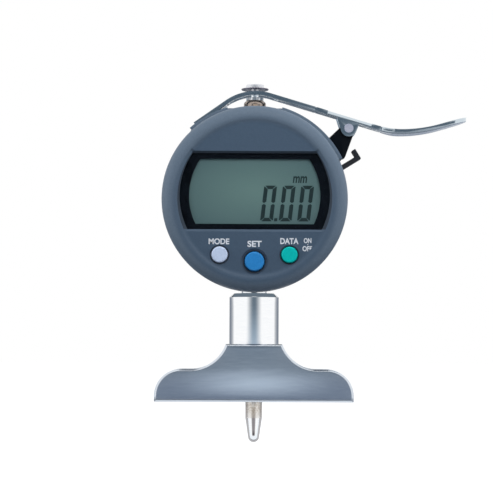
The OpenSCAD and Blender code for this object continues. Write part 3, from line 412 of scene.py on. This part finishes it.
# a copy of a node with its sharp edges rounded, as pressing and moulding leave them
def addSoftEdged(name, width):
    bm = bmesh.new()
    bm.from_mesh(nodes[name].data)
    bmesh.ops.remove_doubles(bm, verts=bm.verts, dist=2 * weld * mm)
    bmesh.ops.dissolve_limit(bm, angle_limit=softEdges["level"], verts=bm.verts, edges=bm.edges)
    bm.normal_update()
    edges = [edge for edge in bm.edges if edge.is_manifold and edge.calc_face_angle() > softEdges["sharp"]]
    bmesh.ops.bevel(bm, geom=edges, offset=width * mm, offset_type="OFFSET", affect="EDGES",
                    segments=softEdges["steps"], profile=0.5, material=-1, clamp_overlap=True)
    piece = finishPiece(name + "_rounded", bm, slotOf[name], bodyOf[name], replaced=(name,))
    for face in piece.data.polygons:
        face.use_smooth = len(face.vertices) < softEdges["broad"]  # the broad flat sides stay flat
    piece.data.set_sharp_from_angle(angle=softEdges["sharp"])


# mitre, shoulder and waist are shares of the stroke that shape the ends of a digit's segments
digits = {
    "left": (1.7, 7.6, 13.4), "foot": 57.15, "height": 11.3, "width": 4.05, "stroke": 1.25, "bar": 1.1,
    "gap": 0.06, "slant": 6.6, "point": (6.1, 1.0), "film": 0.03,
    "mitre": 0.25, "shoulder": 0.2, "waist": (0.45, 0.4),
}
lcdUnit = {"word": "mm", "low": (12.0, 69.35), "high": (16.4, 71.5), "film": 0.04, "weight": 0.03}


# one segment from its outline, drawn in a digit's own corner and mirrored about the digit's middle
def addSegment(bm, outline, left, flipX, flipZ):
    w, h = digits["width"], digits["height"]
    lean = math.tan(math.radians(digits["slant"]))
    verts = []
    for x, z in outline:
        x = w - x if flipX else x
        z = h - z if flipZ else z
        verts.append(bm.verts.new(((left + x + z * lean) * mm, lcdLow.y, (digits["foot"] + z) * mm)))
    return bm.faces.new(verts)


def addDigits(material):
    w, h, t, b, g = (digits[k] for k in ("width", "height", "stroke", "bar", "gap"))
    mitre, shoulder, waist = digits["mitre"], digits["shoulder"], digits["waist"]
    bar = [(t * mitre + g, h), (w - t * mitre - g, h), (w - t - g, h - b), (t + g, h - b)]
    post = [(0, h - b * mitre - g), (t * shoulder, h - b * shoulder - g), (t, h - b - g),
            (t, h / 2 + t * waist[0]), (t * waist[0], h / 2 + g * 2), (0, h / 2 + t * waist[1])]
    bm = bmesh.new()
    faces = []
    for left in digits["left"]:
        for flipZ in (False, True):
            faces.append(addSegment(bm, bar, left, False, flipZ))
            for flipX in (False, True):
                faces.append(addSegment(bm, post, left, flipX, flipZ))
    x, size = digits["point"]
    faces.append(addSegment(bm, [(0, 0), (size, 0), (size, size), (0, size)], x, False, False))
    bmesh.ops.recalc_face_normals(bm, faces=faces)
    raised = newVerts(bmesh.ops.extrude_face_region(bm, geom=faces))
    bmesh.ops.translate(bm, verts=raised, vec=(0, -digits["film"] * mm, 0))
    finishPiece("lcd_digits", bm, "mask_black", "display", material)


wordDraft = {"extrude": 0.5, "curveSteps": 6}


# words as flat ink, each fitted to its place on the face
def addWord(name, word, low, high, front, depth, weight, material, slotName, slant=0):
    curve = bpy.data.curves.new(name, "FONT")
    curve.body = word
    curve.extrude = wordDraft["extrude"]
    curve.offset = weight
    curve.resolution_u = wordDraft["curveSteps"]
    draft = bpy.data.objects.new(name, curve)
    scene.collection.objects.link(draft)
    mesh = bpy.data.meshes.new_from_object(draft.evaluated_get(bpy.context.evaluated_depsgraph_get()))
    bpy.data.objects.remove(draft)
    bpy.data.curves.remove(curve)
    bm = bmesh.new()
    bm.from_mesh(mesh)
    bpy.data.meshes.remove(mesh)
    corners = [[f(v.co[i] for v in bm.verts) for f in (min, max)] for i in range(3)]
    for v in bm.verts:
        x, y, z = ((v.co[i] - corners[i][0]) / (corners[i][1] - corners[i][0]) for i in range(3))
        lean = math.tan(math.radians(slant)) * (high[1] - low[1]) * y
        v.co = ((low[0] + (high[0] - low[0]) * x + lean) * mm, (front + depth / 2 - depth * z) * mm,
                (low[1] + (high[1] - low[1]) * y) * mm)
    finishPiece(name, bm, slotName, "display", material)


faceWords = {
    "front": -16.0, "ink": 0.04, "weight": 0.03,
    "words": (("MODE", (-14.45, 49.75), (-7.95, 51.6)), ("SET", (-2.25, 48.95), (2.25, 50.9)),
              ("DATA", (8.1, 49.9), (13.85, 51.8)), ("ON", (15.5, 50.2), (17.9, 51.8)),
              ("OFF", (15.1, 47.65), (18.1, 49.3))),
    "dot": ((16.75, 49.75), 0.16), "dotSides": 16,
}


def addFaceWords():
    ink = printedInk()
    front, film = faceWords["front"], faceWords["ink"]
    for word, low, high in faceWords["words"]:
        addWord("print_" + word.lower(), word, low, high, front, film, faceWords["weight"], ink,
                "button_pale")
    (x, z), r = faceWords["dot"]
    bm = bmesh.new()
    bmesh.ops.create_cone(bm, cap_ends=True, segments=faceWords["dotSides"], radius1=r * mm, radius2=r * mm,
                          depth=film * mm)
    bmesh.ops.rotate(bm, verts=bm.verts, matrix=Matrix.Rotation(math.radians(90), 3, "X"))
    bmesh.ops.translate(bm, verts=bm.verts, vec=Vector((x, front, z)) * mm)
    finishPiece("print_dot", bm, "button_pale", "display", ink)


# each tooth has four points, two high and two low; bore is a share of the outer radius, level is in metres
knurl = {"teeth": 40, "points": 4, "valley": (2, 3), "depth": 0.16, "edge": 0.1, "edgeSteps": 2, "bore": 0.42,
         "rimAngle": 1.2, "level": 1e-7}


# straight knurl: a ring of teeth extruded up, its rims bevelled
def addKnurledCollar():
    low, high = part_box("spindle_collar")
    outer = (high.x - low.x) / 2
    inner = outer * knurl["bore"]
    around = knurl["teeth"] * knurl["points"]
    bm = bmesh.new()
    bmesh.ops.create_circle(bm, cap_ends=False, segments=around, radius=outer)
    for v in bm.verts:
        turnAt = round(math.atan2(v.co.y, v.co.x) / math.tau * around) % knurl["points"]
        if turnAt in knurl["valley"]:
            v.co *= 1 - knurl["depth"] * mm / outer
    for v in newVerts(bmesh.ops.extrude_edge_only(bm, edges=bm.edges[:])):
        v.co *= inner / v.co.length
    raised = newVerts(bmesh.ops.extrude_face_region(bm, geom=bm.faces[:]))
    bmesh.ops.translate(bm, verts=raised, vec=(0, 0, high.z - low.z))
    rims = [e for e in bm.edges if len(e.link_faces) == 2 and e.calc_face_angle() > knurl["rimAngle"]
            and abs(e.verts[0].co.z - e.verts[1].co.z) < knurl["level"]]
    bmesh.ops.bevel(bm, geom=rims, offset=knurl["edge"] * mm, offset_type="OFFSET",
                    segments=knurl["edgeSteps"], profile=0.5, affect="EDGES", material=-1)
    bmesh.ops.translate(bm, verts=bm.verts, vec=(0, 0, low.z))
    finishPiece("knurled_collar", bm, "polished_steel", "spindle_set", replaced=("spindle_collar",))


for name, width in softEdges["widths"].items():
    addSoftEdged(name, width)
crystal = liquidCrystal()
addDigits(crystal)
addWord("lcd_unit", lcdUnit["word"], lcdUnit["low"], lcdUnit["high"], lcdLow.y / mm, lcdUnit["film"],
        lcdUnit["weight"], crystal, "mask_black", digits["slant"])
addFaceWords()
addKnurledCollar()
print("rounded pieces, digits, words and collar drawn")


# camera, floor and light

view = {"place": (-2.53, -690, 18), "pitch": 2.707, "roll": 0.25, "focal": 156.5, "sensor": 36, "nearest": 10}
camera = bpy.data.objects.new("camera", bpy.data.cameras.new("camera"))
camera.data.sensor_width = view["sensor"]
camera.data.lens = view["focal"]
camera.data.clip_start = view["nearest"] * mm
pitch = Matrix.Rotation(math.radians(90 + view["pitch"]), 4, "X")
roll = Matrix.Rotation(math.radians(view["roll"]), 4, "Z")
camera.matrix_world = Matrix.Translation(Vector(view["place"]) * mm) @ (pitch @ roll)
scene.collection.objects.link(camera)
scene.camera = camera

# softboxes: place, size and power
studio = {
    "floorDrop": 0.4, "floorSize": 6000, "floorColour": "868b92", "floorGlow": 0.95, "floorNear": (150, 420),
    "fill": 0.365, "aim": 55,
    "softboxes": {"key": ((45, -180, 245), 200, 0.46), "left": ((-440, -100, 110), 320, 1.2),
                  "right": ((440, -100, 110), 320, 1.0), "rim": ((300, 300, 380), 300, 1.0)},
}
# cards round the object, seen only in its metal: upright ones at a depth y, level ones at the height flat,
# with middle, half size, where the fade starts as a share of that, and one shade or shades by height
cards = {
    "front": {"y": -300, "middle": (0, 110), "half": (235, 180), "soft": (0.05, 0.85),
              "shades": ((-60, "9aabba"), (19, "a2b4c4"), (36, "65737f"), (124, "606e7a"), (260, "606e7a"))},
    "base": {"y": -90, "middle": (0, 2), "half": (75, 17), "soft": (0.6, 0.85), "shade": "7c8899"},
    "baseGlow": {"y": -60, "middle": (0.5, 9.4), "half": (40, 11), "soft": (0.0, 0.0), "shade": "dfebf6"},
    "rear": {"y": 250, "middle": (0, 12), "half": (900, 38), "soft": (0.08, 0.8), "shade": "7a828e"},
    "leverRear": {"y": 250, "middle": (-5, 68), "half": (62, 26), "soft": (0.7, 0.7), "shade": "56636f"},
    "padRear": {"y": 250, "middle": (105, 68), "half": (70, 26), "soft": (0.7, 0.7), "shade": "a9b1c0"},
    "leverFront": {"y": -299, "middle": (25, 128), "half": (120, 56), "soft": (0.85, 0.6), "shade": "5e6c78"},
    "padSide": {"y": -150, "middle": (-78, 101), "half": (40, 34), "soft": (0.6, 0.6), "shade": "5e6c78"},
    "padTip": {"y": -150, "middle": (150, 106), "half": (60, 34), "soft": (0.6, 0.6), "shade": "5e6c78"},
    "needleFront": {"y": -7.5, "middle": (-0.3, -7.4), "half": (4.6, 5.8), "soft": (0.35, 0.9),
                    "shades": ((-13, "4e4a4c"), (-12.4, "4e4a4c"), (-11, "8d888a"), (-6, "8d888a"),
                               (-4.5, "b3aca4"), (-2, "b3aca4"))},
    "needleGlow": {"y": -7.9, "middle": (0, -7), "half": (140, 6.3), "soft": (0.9, 0.97), "shade": "ffffff"},
    "footGlow": {"flat": -13.35, "middle": (0, -7), "half": (40, 5.3), "soft": (0.9, 0.9), "shade": "f4f8fc"},
    "needleRear": {"y": 3.5, "middle": (0, -7.2), "half": (50, 6.1), "soft": (0.6, 0.95), "shade": "b8b6b7"},
    "sleeveTop": {"flat": 34.78, "middle": (0, -6), "half": (9, 5), "soft": (0.9, 0.9), "shade": "66737e"},
    "humpGlow": {"flat": 34.7, "middle": (0, -10.3), "half": (14, 2.85), "soft": (0.9, 0.95),
                 "shade": "ffffff"},
    "nutGlow": {"y": -8, "middle": (0.2, 94.7), "half": (3.2, 1.7), "soft": (0.6, 0.8), "shade": "fff6ea"},
    "needleFoot": {"flat": -13.3, "middle": (0, 6.8), "half": (40, 8.4), "soft": (0.6, 0.95),
                   "shade": "b8b6b7"},
}


def addLamp(name, place, size, power):
    lamp = bpy.data.objects.new(name, bpy.data.lights.new(name, "AREA"))
    lamp.data.size = size * mm
    lamp.data.energy = power
    lamp.location = Vector(place) * mm
    aim = Vector((0, 0, studio["aim"])) * mm
    lamp.rotation_euler = (aim - lamp.location).to_track_quat("-Z", "Y").to_euler()
    lamp.visible_glossy = False  # the metals mirror the cards and the white room instead
    scene.collection.objects.link(lamp)


# a card's paper glows in its own shade and fades to clear at its edges
def cardPaper(name, card, middle, half):
    material = bpy.data.materials.new(name)
    material.use_nodes = True
    tree = material.node_tree
    tree.nodes.clear()
    place = addNode(tree, "ShaderNodeSeparateXYZ", {0: addNode(tree, "ShaderNodeTexCoord").outputs["Object"]})
    shades = card.get("shades") or [(z, card["shade"]) for z in (0, 1)]
    foot, top = shades[0][0], shades[-1][0]
    height = addNode(tree, "ShaderNodeMapRange", {"Value": place.outputs["Z"]},
                     {"From Min": foot * mm, "From Max": top * mm})
    tint = addNode(tree, "ShaderNodeValToRGB", {"Fac": height.outputs[0]})
    stops = tint.color_ramp.elements
    for shade in shades[1:-1]:
        stops.new((shade[0] - foot) / (top - foot))
    for stop, shade in zip(stops, shades):
        stop.color = hexToLinear(shade[1])
    fades = []
    for i, axis in enumerate(("X", "Y" if "flat" in card else "Z")):
        aside = addNode(tree, "ShaderNodeMath", {0: place.outputs[axis]}, {1: middle[i]},
                        operation="SUBTRACT")
        aside = addNode(tree, "ShaderNodeMath", {0: aside.outputs[0]}, operation="ABSOLUTE")
        fade = addNode(tree, "ShaderNodeMapRange", {"Value": aside.outputs[0]},
                       {"From Min": card["soft"][i] * half[i], "From Max": half[i],
                        "To Min": 1.0, "To Max": 0.0}, interpolation_type="SMOOTHSTEP")
        fades.append(fade.outputs[0])
    shown = addNode(tree, "ShaderNodeMath", {0: fades[0], 1: fades[1]}, operation="MULTIPLY")
    clear = addNode(tree, "ShaderNodeBsdfTransparent")
    glow = addNode(tree, "ShaderNodeEmission", {"Color": tint.outputs[0]})
    paper = addNode(tree, "ShaderNodeMixShader",
                    {0: shown.outputs[0], 1: clear.outputs[0], 2: glow.outputs[0]})
    addNode(tree, "ShaderNodeOutputMaterial", {"Surface": paper.outputs[0]})
    return material


def addCard(name, card):
    middle, half = Vector(card["middle"]) * mm, Vector(card["half"]) * mm
    bm = bmesh.new()
    bmesh.ops.create_grid(bm, x_segments=1, y_segments=1, size=1)
    bmesh.ops.scale(bm, verts=bm.verts, vec=(half.x, half.y, 1))
    if "flat" in card:
        bmesh.ops.translate(bm, verts=bm.verts, vec=(middle.x, middle.y, card["flat"] * mm))
    else:
        bmesh.ops.rotate(bm, verts=bm.verts, matrix=Matrix.Rotation(math.radians(90), 3, "X"))
        bmesh.ops.translate(bm, verts=bm.verts, vec=(middle.x, card["y"] * mm, middle.y))
    mesh = bpy.data.meshes.new(name)
    bm.to_mesh(mesh)
    bm.free()
    mesh.materials.append(cardPaper(name + "_paper", card, middle, half))
    piece = bpy.data.objects.new(name, mesh)
    scene.collection.objects.link(piece)
    piece.visible_camera = piece.visible_diffuse = piece.visible_transmission = piece.visible_shadow = False


def addFloor():
    bm = bmesh.new()
    bmesh.ops.create_grid(bm, x_segments=1, y_segments=1, size=studio["floorSize"] / 2 * mm)
    bmesh.ops.translate(bm, verts=bm.verts, vec=(0, 0, cadBox[0].z - studio["floorDrop"] * mm))
    mesh = bpy.data.meshes.new("floor")
    bm.to_mesh(mesh)
    bm.free()
    floor = bpy.data.objects.new("floor", mesh)
    scene.collection.objects.link(floor)
    material, tree, shader = newMaterial("pale_floor", studio["floorColour"], 0.9,
                                         {"Specular IOR Level": 0.0})
    path = addNode(tree, "ShaderNodeLightPath")
    # near the gauge its metals mirror the floor as it is lit, farther out they see it white
    away = addNode(tree, "ShaderNodeVectorMath", {0: addNode(tree, "ShaderNodeTexCoord").outputs["Object"]},
                   operation="LENGTH")
    far = addNode(tree, "ShaderNodeMapRange", {"Value": away.outputs["Value"]},
                  {"From Min": studio["floorNear"][0] * mm, "From Max": studio["floorNear"][1] * mm},
                  interpolation_type="SMOOTHSTEP")
    far = addNode(tree, "ShaderNodeMath", {0: far.outputs[0], 1: path.outputs["Is Glossy Ray"]},
                  operation="MULTIPLY")
    seen = addNode(tree, "ShaderNodeMath", {0: path.outputs["Is Camera Ray"], 1: far.outputs[0]},
                   operation="MAXIMUM")
    seen = addNode(tree, "ShaderNodeMath", {0: seen.outputs[0], 1: path.outputs["Is Transmission Ray"]},
                   operation="MAXIMUM")
    glow = addNode(tree, "ShaderNodeMath", {0: seen.outputs[0]}, {1: studio["floorGlow"]},
                   operation="MULTIPLY")
    shader.inputs["Emission Color"].default_value = (1, 1, 1, 1)
    tree.links.new(glow.outputs[0], shader.inputs["Emission Strength"])
    mesh.materials.append(material)


def setWorld():
    world = bpy.data.worlds.new("studio")
    scene.world = world
    world.use_nodes = True
    tree = world.node_tree
    path = addNode(tree, "ShaderNodeLightPath")
    seen = addNode(tree, "ShaderNodeMath",
                   {0: path.outputs["Is Camera Ray"], 1: path.outputs["Is Glossy Ray"]}, operation="MAXIMUM")
    seen = addNode(tree, "ShaderNodeMath", {0: seen.outputs[0], 1: path.outputs["Is Transmission Ray"]},
                   operation="MAXIMUM")
    strength = addNode(tree, "ShaderNodeMapRange", {"Value": seen.outputs[0]},
                       {"To Min": studio["fill"], "To Max": 1.0})
    backdrop = tree.nodes["Background"]
    backdrop.inputs["Color"].default_value = (1, 1, 1, 1)
    tree.links.new(strength.outputs[0], backdrop.inputs["Strength"])


addFloor()
setWorld()
for name, lamp in studio["softboxes"].items():
    addLamp(name + "_softbox", *lamp)
for name, card in cards.items():
    addCard(name + "_card", card)
print("camera and light set")
